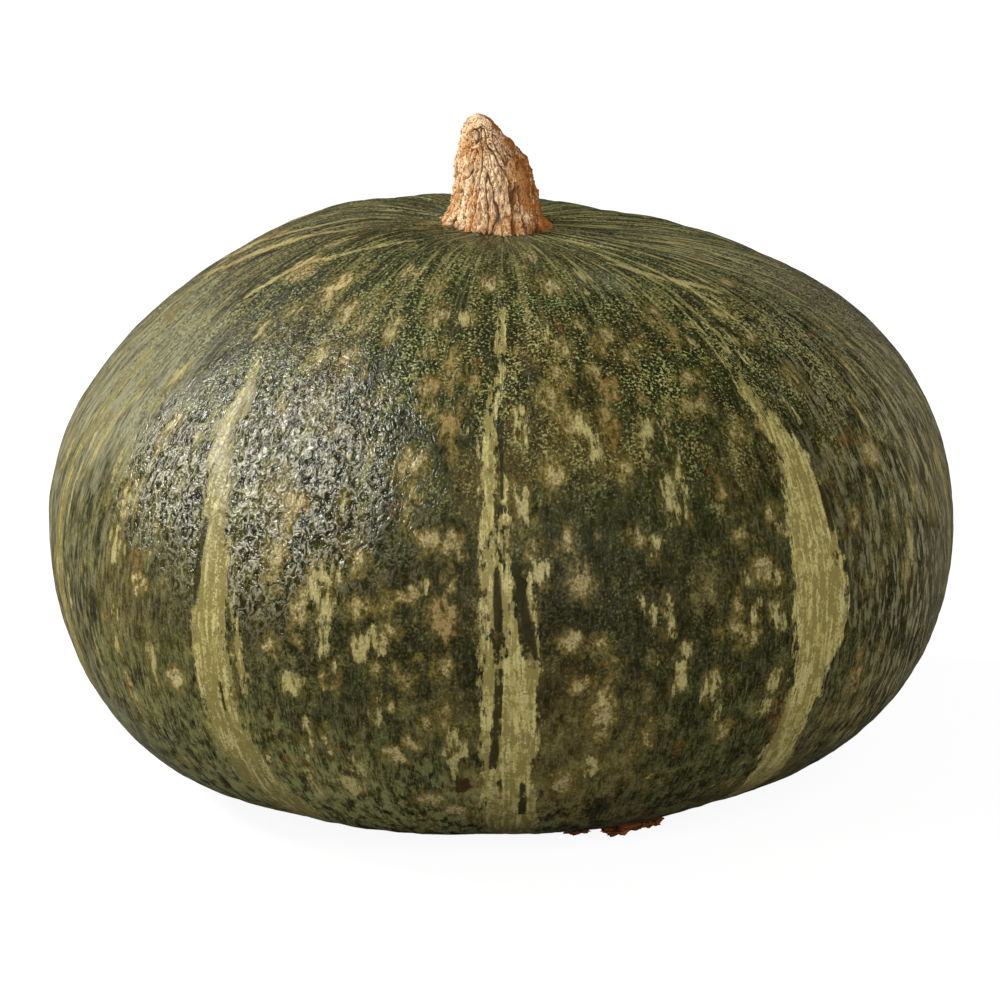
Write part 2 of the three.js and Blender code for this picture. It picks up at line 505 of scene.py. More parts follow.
# Painted shade in the pits and the cracks, the lowest parts of the relief.
# Painted shade: the side away from the key lamp is browner and loses its pale ribs.
CORK_RULES = """
weathered = clip(rain_side*2.2 + 3*(patch - 0.5) - 0.3) * 0.9
light = clip((patch + 0.6*fibre + 0.3*grit - 0.85) / 0.18 - 1.3*rain_side) * 0.88
brown = clip((0.49 - 0.6*fibre - 0.4*grit + 0.02*rain_side) / 0.08) * (0.65 + 0.2*rain_side)
orange = clip((stain - 0.55) / 0.08) * (0.2 + 0.7*foot) * (1 - 0.6*rain_side)
red = clip((0.6*fibre + 0.4*grit - 0.53) / 0.06) * foot * 0.7
pit = clip((0.46 - 0.5*fibre - 0.5*grit) / 0.04) * 0.6
crack = clip(crack_depth*2.2 - 0.5) * 0.8
height = fibre + 0.5*grit
dullness = 0.82
"""


@dataclass(frozen=True)
class DriedCork(Finish):
    """The dried stem: dead, corky tissue, dull and fibrous.

    It is light on its ribs, with painted shade in its cracks and pits, and painted shade browns the
    side away from the key lamp.
    """

    name: str = "dried_cork"
    tone: str = "#c08f5a"
    layers: tuple[tuple[str, str], ...] = (
        # Painted shade: the brown of the side away from the key lamp, and the dark of the pits and
        # the cracks.
        ("weathered", "#85511f"), ("light", "#f0d5ad"), ("brown", "#874812"), ("orange", "#c98430"),
        ("red", "#7d3c1c"), ("pit", "#6a3410"), ("crack", "#45200b"),
    )
    grains: tuple[tuple[str, Grain], ...] = (
        ("patch", Grain(3.5, 7, Place.OBJECT, 3, 0.6)),
        ("fibre", Grain(0.35, 2.6, Place.OBJECT, 3, 0.65, 5)),
        ("stain", Grain(2.4, 2.4, Place.OBJECT, 3, 0.6, 13)),
        ("grit", Grain(0.3, 0.3, Place.OBJECT, 2, 0.6, 19)),
    )
    stored: tuple[str, ...] = ("crack_depth", "foot", "rain_side")
    rules: str = CORK_RULES
    bump: float = 0.15
    gloss: float = 0.3


# ---- Marks on the rind ---------------------------------------------------------------------------

FAR = 6.0  # mm: further from a mark's edge than any of its frayed edge reaches


def edge_gap(reach: np.ndarray, half_width: np.ndarray | float) -> np.ndarray:
    """Measures mm outside a mark's edge, in a way that is also smooth along its middle.

    Args:
        reach: Distance from the mark's middle as a share of its half width.
        half_width: Half its width in mm.

    Returns:
        Below 0 inside the mark, and at most FAR.
    """
    return np.minimum((reach**2 - 1) * half_width / 2, FAR)


@dataclass
class RindPoints:
    """The points of the rind's mesh, in mm and degrees, for laying marks on it."""

    MM_PER_DEGREE = 1.2

    places: np.ndarray
    longitude: np.ndarray
    latitude: np.ndarray

    def __post_init__(self) -> None:
        """Works out each point's distance from the axis."""
        self.radius = np.hypot(self.places[:, 0], self.places[:, 1])

    def nearest(self, longitude: float, latitude: float) -> np.ndarray:
        """Finds the point of the rind nearest to a longitude and latitude."""
        turn = wrapped(self.longitude - longitude) * np.cos(np.radians(self.latitude))
        return self.places[np.argmin(turn**2 + (self.latitude - latitude) ** 2)]

    def tangent(self, longitude: float, latitude: float) -> tuple[np.ndarray, ...]:
        """Finds a point of the rind and the directions east and north along the rind there.

        Args:
            longitude: Degrees.
            latitude: Degrees.

        Returns:
            The point, then the two directions.
        """
        step = 2.0
        east = np.array((math.cos(math.radians(longitude)), math.sin(math.radians(longitude)), 0))
        north = self.nearest(longitude, latitude + step) - self.nearest(longitude, latitude - step)
        north -= east * (north @ east)
        return self.nearest(longitude, latitude), east, north / np.linalg.norm(north)

    def patches(self, patches: Sequence[tuple[float, float, float, float]]) -> np.ndarray:
        """Measures how strong a set of soft round patches is at each point.

        Args:
            patches: Longitude, latitude, reach in mm and strength of each.

        Returns:
            From 0 to 1.
        """
        level = np.zeros(len(self.places))
        for longitude, latitude, reach, strength in patches:
            apart = np.linalg.norm(self.places - self.nearest(longitude, latitude), axis=1)
            level = np.maximum(level, strength * np.exp(-((apart / reach) ** 4)))
        return level


@dataclass(frozen=True)
class Course:
    """A mark that runs down the fruit.

    Attributes:
        mark: What it is.
        stops: Latitude, longitude and width in mm at points along it, from the stem down.
    """

    mark: Mark
    stops: tuple[tuple[float, float, float], ...]

    def gap(self, rind: RindPoints) -> np.ndarray:
        """Measures how far each point of the rind is outside the mark.

        Args:
            rind: The rind's points.

        Returns:
            The gap in mm, below 0 inside the mark.
        """
        latitude, longitude, width = np.array(self.stops[::-1]).T
        half = np.interp(rind.latitude, latitude, width) / 2
        middle = np.interp(rind.latitude, latitude, longitude)
        aside = np.radians(wrapped(rind.longitude - middle)) * rind.radius / half
        past = np.maximum(latitude[0] - rind.latitude, rind.latitude - latitude[-1])
        past = np.maximum(past, 0) * rind.MM_PER_DEGREE / half
        return edge_gap(np.hypot(aside, past), half)


@dataclass(frozen=True)
class Fleck:
    """A small mark, which may be longer than it is wide.

    Attributes:
        mark: What it is.
        longitude: Where its middle is, in degrees.
        latitude: Where its middle is, in degrees.
        across: Its width in mm.
        along: Its length in mm.
        tilt: How far its top leans towards growing longitude, in degrees.
    """

    mark: Mark
    longitude: float
    latitude: float
    across: float
    along: float
    tilt: float = 0.0

    def gap(self, rind: RindPoints) -> np.ndarray:
        """Measures how far each point of the rind is outside the mark.

        Args:
            rind: The rind's points.

        Returns:
            The gap in mm, below 0 inside the mark.
        """
        middle, east, north = rind.tangent(self.longitude, self.latitude)
        turn = math.radians(self.tilt)
        lengthwise = north * math.cos(turn) + east * math.sin(turn)
        crosswise = east * math.cos(turn) - north * math.sin(turn)
        apart = rind.places - middle
        aside = apart @ crosswise / (self.across / 2)
        ahead = apart @ lengthwise / (self.along / 2)
        inward = apart @ np.cross(east, north)
        blunt = 4 if self.mark is Mark.PALE else 2
        reach = (np.abs(aside) ** blunt + np.abs(ahead) ** blunt) ** (1 / blunt)
        reach = np.hypot(reach, inward / self.along)
        return edge_gap(reach, min(self.across, self.along) / 2)


BAND, SLIT, CREASE, RAY, PALE = Mark.BAND, Mark.SLIT, Mark.CREASE, Mark.RAY, Mark.PALE

COURSES = (
    # The front band: a thin line that widens below the girth, frayed into strands.
    Course(BAND, ((56, 0, 1.2), (50, 0, 2), (44, -0.3, 1.6), (38, -1.2, 1.7), (35, -1.8, 3),
           (20, -1.6, 3.2), (14, -1.7, 2.8), (0, -1.8, 3), (-5, -1, 5), (-20, -1, 5))),
    Course(BAND, ((28, 0.3, 1), (22, 0.6, 1.8), (14, 0.3, 2.2), (5, 0.8, 2.6), (-2, 1.6, 4),
           (-5, 1.4, 9), (-18, 1.2, 11), (-22, 0.8, 9.5), (-27, 0.5, 9), (-31, 1, 11),
           (-45, 1.5, 10), (-60, 1.5, 7))),
    Course(BAND, ((12, 3.4, 1.3), (6, 3.6, 1.6), (2, 4, 1.2), (-4, 4.6, 1.4))),
    Course(SLIT, ((12, -0.5, 1.1), (8, -0.5, 1.5), (3, -0.3, 1.4))),
    Course(SLIT, ((13, 1.8, 0.9), (9, 2.5, 1.5), (3, 3.3, 1.9), (-2, 4.1, 1.1))),
    Course(SLIT, ((-4, -0.2, 1.4), (-13, -0.5, 1.7), (-23.5, -1.1, 1.5))),
    Course(SLIT, ((-27, -0.2, 0.8), (-32.5, -0.2, 0.8))),
    Course(SLIT, ((-27.5, 2.8, 1.2), (-38, 3.1, 1.5))),
    Course(SLIT, ((36, 0, 0.8), (24, 0.1, 0.8))),
    # The right band.
    Course(BAND, ((58, 41.5, 0.9), (52, 40.4, 1), (46, 39.8, 1.1), (42, 40.3, 2.2),
           (36, 41, 3.4), (33, 41.5, 4.6), (27, 43, 7.5), (22, 42.6, 9.6), (14, 42.6, 11),
           (7, 43, 14.5), (-4, 43, 14), (-10, 42.3, 10), (-19, 41.5, 8), (-27, 41, 9),
           (-38, 43, 10), (-50, 43, 9), (-62, 43, 6))),
    Course(BAND, ((57, 44, 0.8), (50, 42.8, 0.9), (46, 42.2, 0.9))),
    Course(BAND, ((50.5, 45.5, 1), (45.5, 45, 1.6), (44, 45, 1))),
    Course(BAND, ((36, 46, 1.2), (32, 47, 1.4))),
    Course(SLIT, ((21, 45.8, 1), (17, 46, 1.6), (13, 46, 1))),
    # The left band.
    Course(BAND, ((40, -44, 2), (36, -42.8, 4), (29, -43, 6), (22, -40, 6.5), (14, -39, 6.5),
           (7, -38.5, 8), (-3, -38.5, 8.5), (-14, -38.5, 9), (-24, -37.5, 10), (-32, -36, 11),
           (-40, -33.5, 11), (-55, -33, 8))),
    Course(BAND, ((6, -34.2, 1), (-2, -34, 1.3), (-12, -33.5, 1.6))),
    Course(SLIT, ((16, -40.6, 1.2), (6, -40.7, 1.6), (2, -40.6, 1))),
    Course(SLIT, ((-11, -37.6, 1.2), (-16, -37.6, 1))),
    # The band at the left edge, and the one at the right edge.
    Course(BAND, ((36, -74, 1.4), (30, -74.5, 2.4), (21.5, -76, 3), (15, -76, 3.6), (9, -76, 5),
           (4, -76, 7), (-6, -76, 8), (-14, -75, 7), (-30, -73, 7), (-50, -72, 6))),
    Course(PALE, ((36, -66, 0.8), (30, -66.4, 1.6), (25, -68.6, 2), (19, -69, 1.8),
           (14, -69.5, 0.8))),
    Course(RAY, ((50, -88, 0.7), (38, -86, 1.3), (26, -87, 1.4), (10, -86, 1))),
    Course(RAY, ((24, -72, 0.6), (14, -72.5, 1), (2, -72, 0.8), (-8, -71, 0.6))),
    Course(RAY, ((10, -83.5, 0.8), (-4, -83, 1.4), (-18, -80, 1))),
    Course(BAND, ((54, 77, 1), (43, 76.5, 1.6), (35, 77.5, 2), (28, 81, 2), (21, 82, 2),
           (12, 80.5, 2.4), (0, 81, 2.6), (-20, 80, 4), (-45, 80, 4))),
    Course(RAY, ((48, 72, 0.6), (40, 72.5, 1.1), (32, 74.5, 1.1), (24, 77, 1), (14, 77, 0.8))),
    Course(RAY, ((46, 80, 0.6), (36, 81, 1.2), (26, 85, 1.2), (10, 84.5, 1), (-8, 84, 1.2))),
    Course(RAY, ((40, 68, 0.5), (30, 70, 0.9), (20, 72, 0.8), (8, 73, 0.6))),
    Course(RAY, ((38, 85, 0.6), (24, 89, 1.2), (6, 88, 1.2), (-12, 87, 0.8))),
    # Pale lines that run out from the stem over the crown, and dark lines of painted crease shade
    # beside them.
    Course(RAY, ((81, -72, 0.9), (73, -66, 1.1), (66, -71, 1.5), (60.8, -77.8, 1.8),
           (55.2, -81.5, 2.4), (51, -84.8, 2.4), (46, -92.5, 2))),
    Course(CREASE, ((80, -66, 0.8), (66, -68.5, 1), (60, -75, 1.1), (54, -79, 1.2), (46, -88, 1))),
    Course(RAY, ((74, -84, 0.7), (66, -82, 1.1), (58, -88, 1.5), (50, -97, 1.6))),
    Course(CREASE, ((74, -79, 0.7), (66, -79, 0.9), (58, -85.5, 1), (52, -92, 0.8))),
    Course(RAY, ((72, -37, 0.8), (65, -45.8, 1.1), (60, -51.8, 1.4), (56, -57.5, 1.7),
           (49, -62, 1.1))),
    Course(CREASE, ((70, -36, 0.6), (63, -44, 0.8), (57, -52, 0.9), (52, -57, 0.7))),
    Course(CREASE, ((83, 67, 1), (76, 65, 1.4), (68, 71, 1.3), (58, 75, 0.8))),
    Course(RAY, ((80, 52, 0.8), (77.5, 53, 1.3), (73, 55, 0.8))),
    Course(RAY, ((70, 39.5, 1), (67.5, 42.5, 2.2), (65, 45.8, 2.8), (61, 52.5, 2.4),
           (58, 55.5, 1.2))),
    Course(CREASE, ((69, 44, 0.6), (64, 51, 0.9), (58, 60, 0.7))),
    Course(RAY, ((74, 76, 0.6), (64, 74, 1), (54, 78, 0.8))),
    # The bands at the back.
    Course(BAND, ((55, 113, 1.2), (40, 114, 3), (25, 115, 6), (8, 114, 9), (-12, 115, 8),
           (-30, 114, 10), (-55, 114, 7))),
    Course(SLIT, ((4, 113, 1.2), (-14, 113.6, 1.4))),
    Course(BAND, ((50, 148, 1.4), (34, 149, 2.4), (18, 150, 4), (2, 149, 7), (-20, 148, 10),
           (-50, 149, 8))),
    Course(BAND, ((57, 184, 1.2), (44, 183, 3), (26, 184, 8), (10, 185, 12), (-8, 184, 10),
           (-26, 184, 9), (-54, 184, 7))),
    Course(SLIT, ((14, 187, 1.2), (2, 187, 1.5))),
    Course(BAND, ((52, 219, 1), (38, 218, 2.6), (20, 217, 5), (0, 218, 6), (-22, 219, 9),
           (-52, 218, 7))),
    Course(BAND, ((56, 250, 1.2), (40, 251, 3.4), (22, 252, 7), (2, 251, 9), (-24, 250, 9),
           (-52, 251, 7))),
    Course(SLIT, ((-6, 249.6, 1.2), (-20, 249.8, 1.2))),
)

# The longitude, latitude, width and length of each larger fleck, by kind.
FLECKS = {
    Mark.PALE: (
        (2.8, 35, 2.4, 7), (-23.5, 9, 2.4, 8), (-21.5, 8, 2.8, 9), (-22, 1, 2, 8),
        (-20.5, -5, 1.8, 3), (-15, 1, 3, 4.5), (-17, -0.5, 2.6, 4.5), (-26, -9, 4.4, 4.5),
        (-26, -29, 1.8, 11), (-21, -30, 4.2, 5), (-19, -25, 1.5, 8), (-25, -17, 1.4, 5),
        (-6, -20, 2.6, 9), (-5, -19, 1.6, 4), (5, 12, 3, 5), (12, 35.5, 2.4, 4.5),
        (13, 32, 1.8, 5), (22.5, 23, 2.8, 7.5), (24.5, 21.5, 1.4, 4), (24, 28, 1.2, 7),
        (8, 52, 1.4, 5), (21, 4, 1.4, 5.5), (19, 3.5, 1.3, 4), (12.5, -10, 1.4, 3),
        (12, -23.5, 2.6, 4.5), (22, -7, 2.6, 5.5), (26, -10, 3.6, 5), (36, -10.5, 2.8, 4),
        (35, -15.5, 2.8, 3.4), (-54, 16, 1.8, 5), (-57, 8, 3, 7), (-61, 20, 2.4, 6),
        (65, 37, 1.6, 7), (60, 33.5, 1.6, 9), (62, 7, 2.2, 9), (-49, -11, 2, 6), (3, 22.5, 2.4, 6),
        (-56, -10, 2, 5), (-56, -18, 1.8, 9), (-63, -15.5, 1.8, 9), (-7, 54, 2.8, 3.5),
    ),
    Mark.TAN: (
        (-3, 62.5, 4, 7), (13, 62, 4, 7.5), (-13, 53.5, 4, 8), (-21.5, 50, 3.4, 6.5),
        (-27.5, 50, 3, 3.6), (-27, 55, 3, 5), (-16, 59, 4, 6.5), (-33, 44.5, 4.4, 5),
        (-27, 44, 4.4, 6), (-41, 56, 5, 10), (-57, 57, 5, 7), (-46, 49.5, 3, 5), (-49, 46, 3, 6),
        (-33, 51.5, 4, 6.5), (-13, 46.5, 4, 3.6), (-8, 45, 3, 9), (-5, 42, 2.6, 6.5),
        (-7.5, 35, 4, 7.5), (-12, 41, 4, 4.6), (-11, 37, 3.6, 3.6), (-12.5, 28.5, 6.5, 6.5),
        (-12, 22.5, 3.6, 11), (-27.5, 21, 7, 4.5), (20, 51, 4, 5), (17, 48.5, 2.4, 4.4),
        (15, 44, 3, 4), (17, 41, 4, 5), (16, 36, 3.6, 8.5), (22, 47, 2.8, 4.4), (33, 55.5, 3.4, 6),
        (34, 51, 3, 5), (31.5, 42.5, 7, 4), (30, 37, 6.5, 4.4), (10, 36, 4, 7.5),
        (7, 28, 4.4, 7.4), (16.5, 27.5, 3.6, 4), (9.5, 44, 3.6, 6), (11, 48.5, 3.6, 5),
        (7, 40.5, 4.4, 6.5), (49, 54, 5, 4.5), (49, 48, 5, 3.4), (64, 59, 6, 3),
        (36.5, 18, 4, 4.6), (35, 32.5, 4, 5), (-25, 4, 4.4, 10), (-14, 1.5, 4, 5),
        (-17.5, 6, 5.4, 4.4), (-12, -6, 4.6, 5), (-13, -10.5, 3, 3), (-11, 9, 4, 4.4),
        (-7, 4.5, 6, 8.5), (-7, -3.5, 4, 5), (-18, 13, 4.4, 5.5), (-9, 17, 5, 5), (-6, 16, 4, 6),
        (-29, 12, 5, 6.5), (-29, 8.5, 4, 5), (-29, -3, 4, 5), (-7, -12, 2.6, 8), (-9, -14.5, 3, 4),
        (-14, -21.5, 5, 5), (-11, -18.5, 4, 4), (-10, -32.5, 6, 5), (-7, -36, 5, 5),
        (10, 11, 5.4, 7.2), (17.5, 17, 3.4, 4), (8, 1, 5.4, 4.8), (11.5, 0, 4, 4),
        (14, -3.5, 4, 4), (10, -7, 4.6, 4.2), (12.5, -12, 5.5, 13), (29, -19.5, 4, 5),
        (30, 5, 3, 5), (29.5, 1, 3.4, 3.4), (34, 10, 6, 6.5), (32, -2, 4.6, 4.2), (35, 3, 3.6, 4),
        (31, 15, 3.4, 4), (19, -18, 2, 6), (35, -35, 3, 5), (20, -29.5, 1.6, 6), (8.5, -28, 5, 7),
        (60.5, 1.5, 4, 6), (51, -15, 5, 7), (58, 24, 6, 6), (51.5, 39.5, 4, 5), (-53, 28, 4, 9),
        (-56, 15, 4.5, 9), (-45, -12, 5, 6), (-51, 3, 6, 5), (4.5, 15, 3.4, 10),
    ),
    Mark.RUST: (
        (12, 53, 3, 4), (-8, 45, 2.5, 6), (-7.5, 35, 4, 7), (-12, 42, 3, 4), (17, 41, 4, 5),
        (16, 35, 3.5, 8), (-15, 27, 3, 4), (-7, 4.5, 5, 8), (29, 25, 2, 12), (34, 51, 3, 4),
        (82, 59, 4, 3), (66, 45, 3, 3), (55, 27, 8, 5), (38, -19, 4, 9), (-51, 7, 5, 5),
    ),
    Mark.GOLD: (
        (63, 65, 2.4, 4.5), (63, 59, 3, 4), (74.5, 57, 2.4, 2.8), (-54, 55.5, 5, 6),
        (-41, 56, 4, 8), (-24, 61.5, 4, 6), (-58, 62, 2.4, 10), (80, 62, 2.4, 6), (11, 72, 2.4, 7),
        (115, 76, 2, 3),
    ),
    Mark.SCAB: (
        (37.5, -16.5, 3, 7), (-5, -28.5, 4, 4.5), (-30.5, -14, 2.4, 3.4), (-30, -19, 2.4, 3),
        (46.5, 8.5, 2.4, 2), (51, -16, 2, 2), (-57, -24, 2.4, 1.6),
    ),
}


# ---- The fruit -----------------------------------------------------------------------------------

FRUIT_SHAPE = """
across = sqrt(x*x + y*y)
side = x / max(across, 0.000001)
front = -y / max(across, 0.000001)
crown = max(z, 0)
full = fullness + fullness_change*z + (fullness_sideways + fullness_sideways_change*z)*side
full_width = girth_radius*(across + full*(4*across - 4*across**3))
away = 1 - exp(-(full_width/lean_radius)**2)
lean = (rise_sideways + rise_sideways_change*z)*side + crown_forward*crown*front
full_rise = rise + rise_change*z + lean*away
dimple = (z > 0)*dimple_depth*exp(-(full_width/dimple_radius)**2)
bare = full_rise*(z + full*(4*z - 4*z*z*z)) - dimple
shoulder = max(2*across*z, 0)
furrow = groove*(girth_furrow + (shoulder_furrow - girth_furrow)*shoulder)
ease = clip(full_width/dimple_radius)
tall = max(bare - furrow*z*ease*ease*(3 - 2*ease), -rest_depth)
wide = max(full_width - furrow*across, 0)
inner = clip(wide/blossom_radius)
height = tall + (z < 0)*blossom_depth*(1 - inner*inner*(3 - 2*inner))
east_m = side*wide*0.001
north_m = -front*wide*0.001
up_m = height*0.001
fibre_x = girth_radius*side
fibre_y = -girth_radius*front
fibre_z = latitude*meridian/57.29578
"""
FRUIT_ANGLES = """
longitude = 57.29578*atan2(x, -y)
latitude = 57.29578*asin(z)
"""
FRUIT_FURROW = """
apart = wrap(longitude - furrow_at, 180, -180)
groove = max(groove, exp(-(apart/furrow_width)**2))
"""
FRUIT_RELIEF = """
near_stem = crown*exp(-(full_width/rib_reach)**2)
relief = lump_height*(lump - 0.5) + dent_height*(dent - 0.5) + rib_height*near_stem*(rib - 0.5)
relief_m = relief*0.001
"""
RELIEF_GRAINS = {
    "lump": Grain(34, 34, Place.OBJECT, 1, 0.4, 3),
    "dent": Grain(7, 10, Place.FIBRE, 2, 0.5, 9),
    "rib": Grain(5.5, 60, Place.FIBRE, 2, 0.5, 15),
}


@dataclass(frozen=True)
class FruitSizes:
    """The sizes that the fruit's shape is worked out from, each an input of its node tree.

    The profile is a circle's sine and cosine with a third harmonic. A change is from the middle to
    the crown, and a sideways size is added on the right and taken off on the left.
    """

    girth_radius: float = 90
    rise: float = 61
    rise_change: float = 7.5
    rise_sideways: float = -3.4
    rise_sideways_change: float = -3.8
    fullness: float = 0.02
    fullness_change: float = -0.022
    fullness_sideways: float = 0.008
    fullness_sideways_change: float = 0.023
    crown_forward: float = 1.6
    lean_radius: float = 30
    rest_depth: float = 51.8
    dimple_depth: float = 7.6
    dimple_radius: float = 32
    blossom_depth: float = 2.8
    blossom_radius: float = 15
    furrow_width: float = 9
    girth_furrow: float = 0.5
    shoulder_furrow: float = 0.6
    lump_height: float = 0.5
    dent_height: float = 0.9
    rib_height: float = 1.3
    rib_reach: float = 42
    meridian: float = 78  # mm for each radian of latitude


@dataclass
class Fruit:
    """The fruit: its furrowed body, its bands and flecks, and its waxy rind.

    Attributes:
        sizes: The sizes of its shape.
        furrows: The longitude of each furrow.
        segments: Facets round it.
        rings: Facets from the blossom end to the stem.
        finish: The rind's finish.
        seed: Fixes where the scattered flecks and rays are.
        small_flecks: How many small flecks are scattered all over.
        back_flecks: How many larger flecks are scattered round the back.
        ray_count: How many pale lines run out from the stem, besides those in COURSES.
        bloom_patches: Longitude, latitude, reach in mm and strength of each patch of waxy bloom,
            which carries a painted grey sheen.
        crinkle_patches: The same of each patch of deep crinkle, where its painted highlight and
            painted shade are strongest.
        scar_radius: The blossom scar's radius in mm.
        shade_middle: The longitude and latitude where the painted shade round the girth is darkest.
        shade_reach: How far that reaches round and up, in degrees.
        sun_longitude: The side that faced the sun.
        sun_reach: How far round from there the rind is paler at the girth, in degrees.
        sun_fade: Over how many degrees that fades.
        object: The finished fruit.
    """

    sizes: FruitSizes = FruitSizes()
    furrows: tuple[float, ...] = (-75, -39, -1, 42, 80, 114, 149, 184, 218, 251)
    segments: int = 520
    rings: int = 188
    finish: Finish = WaxyRind()
    seed: int = 11
    small_flecks: int = 520
    back_flecks: int = 130
    ray_count: int = 16
    bloom_patches: tuple[tuple[float, float, float, float], ...] = (
        (-74, 33, 25, 1), (-88, 12, 20, 0.7), (28, 64, 7, 0.5), (-70, -38, 24, 0.5),
    )
    crinkle_patches: tuple[tuple[float, float, float, float], ...] = (
        (-33, 24, 29, 1), (-49, 22, 17, 1), (-16, 20, 14, 0.4), (-30, 2, 15, 0.3),
    )
    scar_radius: float = 8
    shade_middle: tuple[float, float] = (-8, 2)
    shade_reach: tuple[float, float] = (55, 15)
    sun_longitude: float = -85
    sun_reach: float = 64
    sun_fade: float = 34
    object: bpy.types.Object | None = None

    WORKING_VALUES = ("longitude", "latitude", "full_width", "crown")  # taken off the mesh again

    def shape_tree(self, material: bpy.types.Material) -> bpy.types.NodeTree:
        """Writes the rule of the fruit's shape as a node tree.

        Args:
            material: The rind's material.

        Returns:
            A tree that turns a round ball into the fruit, with an input for each size.
        """
        tree = bpy.data.node_groups.new("fruit_shape", "GeometryNodeTree")
        tree.interface.new_socket("Fruit", in_out="OUTPUT", socket_type="NodeSocketGeometry")
        for name in asdict(self.sizes):
            title = name.replace("_", " ").capitalize()
            tree.interface.new_socket(title, in_out="INPUT", socket_type="NodeSocketFloat")
        known: dict[str, Feed] = dict(
            zip(asdict(self.sizes), add_node(tree, "NodeGroupInput").outputs)
        )
        spot = add_node(tree, "GeometryNodeInputPosition")
        known |= zip("xyz", add_node(tree, "ShaderNodeSeparateXYZ", None, {0: spot}).outputs)
        add_rules(tree, FRUIT_ANGLES, known)
        known["groove"] = 0.0
        for furrow in self.furrows:
            known["furrow_at"] = float(furrow % 360)
            add_rules(tree, FRUIT_FURROW, known)
        add_rules(tree, FRUIT_SHAPE, known)

        # The ball keeps its longitude and latitude, and is drawn out into the furrowed fruit.
        feeds = {"Segments": self.segments, "Rings": self.rings, "Radius": 1.0}
        shape = add_node(tree, "GeometryNodeMeshUVSphere", None, feeds)
        feeds = {0: known["fibre_x"], 1: known["fibre_y"], 2: known["fibre_z"]}
        fibre = add_node(tree, "ShaderNodeCombineXYZ", None, feeds)
        stored = {name: ("FLOAT", known[name]) for name in self.WORKING_VALUES}
        stored[Place.FIBRE.value] = ("FLOAT_VECTOR", fibre)
        for name, (kind, value) in stored.items():
            feeds = {"Geometry": shape, "Name": name, "Value": value}
            shape = add_node(tree, "GeometryNodeStoreNamedAttribute", {"data_type": kind}, feeds)
        for name in ("full_width", "crown", Place.FIBRE.value):
            settings = {"data_type": stored[name][0]}
            known[name] = add_node(
                tree, "GeometryNodeInputNamedAttribute", settings, {"Name": name}
            )
        feeds = {0: known["east_m"], 1: known["north_m"], 2: known["up_m"]}
        feeds = {"Geometry": shape, "Position": add_node(tree, "ShaderNodeCombineXYZ", None, feeds)}
        shape = add_node(tree, "GeometryNodeSetPosition", None, feeds)

        # Low lumps, dents and ribs push the rind in and out, and the blossom end stays flat.
        feeds = {0: spot, "Scale": 1 / MM}
        in_mm = add_node(tree, "ShaderNodeVectorMath", {"operation": "SCALE"}, feeds)
        places = {Place.OBJECT: in_mm, Place.FIBRE: known[Place.FIBRE.value]}
        known |= add_grains(tree, RELIEF_GRAINS, places)
        add_rules(tree, FRUIT_RELIEF, known)
        feeds = {0: add_node(tree, "GeometryNodeInputNormal"), "Scale": known["relief_m"]}
        push = add_node(tree, "ShaderNodeVectorMath", {"operation": "SCALE"}, feeds)
        shape = add_node(tree, "GeometryNodeSetPosition", None, {"Geometry": shape, "Offset": push})
        add_rules(tree, "flat = max(z, -rest_depth*0.001)", known)
        feeds = {0: known["x"], 1: known["y"], 2: known["flat"]}
        feeds = {"Geometry": shape, "Position": add_node(tree, "ShaderNodeCombineXYZ", None, feeds)}
        shape = add_node(tree, "GeometryNodeSetPosition", None, feeds)
        shape = add_node(tree, "GeometryNodeSetShadeSmooth", None, {"Geometry": shape})
        shape = add_node(tree, "GeometryNodeRealizeInstances", None, {0: shape})
        feeds = {"Geometry": shape, "Material": material}
        shape = add_node(tree, "GeometryNodeSetMaterial", None, feeds)
        add_node(tree, "NodeGroupOutput", None, {0: shape})
        return tree

    def make(self) -> bpy.types.Object:
        """Grows the fruit where the frame has it, marks it and dresses it.

        Returns:
            The fruit's object.
        """
        carrier = add_object("fruit_rule", bpy.data.meshes.new("fruit_rule"))
        modifier = carrier.modifiers.new("shape", "NODES")
        modifier.node_group = self.shape_tree(self.finish.make())
        sockets = modifier.node_group.interface.items_tree
        inputs = [socket.identifier for socket in sockets if socket.in_out == "INPUT"]
        for identifier, size in zip(inputs, asdict(self.sizes).values()):
            modifier[identifier] = float(size)
        graph = bpy.context.evaluated_depsgraph_get()
        mesh = bpy.data.meshes.new_from_object(carrier.evaluated_get(graph), depsgraph=graph)
        carrier.modifiers.remove(modifier)
        bpy.data.objects.remove(carrier)
        mesh.name = "squash_body_rind"
        self.seat(mesh)
        rind = self.survey(mesh)
        self.mark(mesh, rind)
        self.unwrap(mesh, rind)
        self.object = add_object("squash_body_rind", mesh)
        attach(self.object, "root")
        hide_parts("squash_body")
        log.info("fruit: %d faces", len(mesh.polygons))
        return self.object

    def seat(self, mesh: bpy.types.Mesh) -> None:
        """Moves the fruit's mesh to where the frame has it.

        Args:
            mesh: The fruit's mesh.
        """
        low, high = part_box("squash_body")
        places = np.array([vertex.co for vertex in mesh.vertices])
        middle = (places.min(0) + places.max(0)) / 2
        wanted = (np.array(low) + np.array(high)) / 2
        shift = Vector((wanted[0] - middle[0], wanted[1] - middle[1], low[2] - places[:, 2].min()))
        mesh.transform(Matrix.Translation(shift))

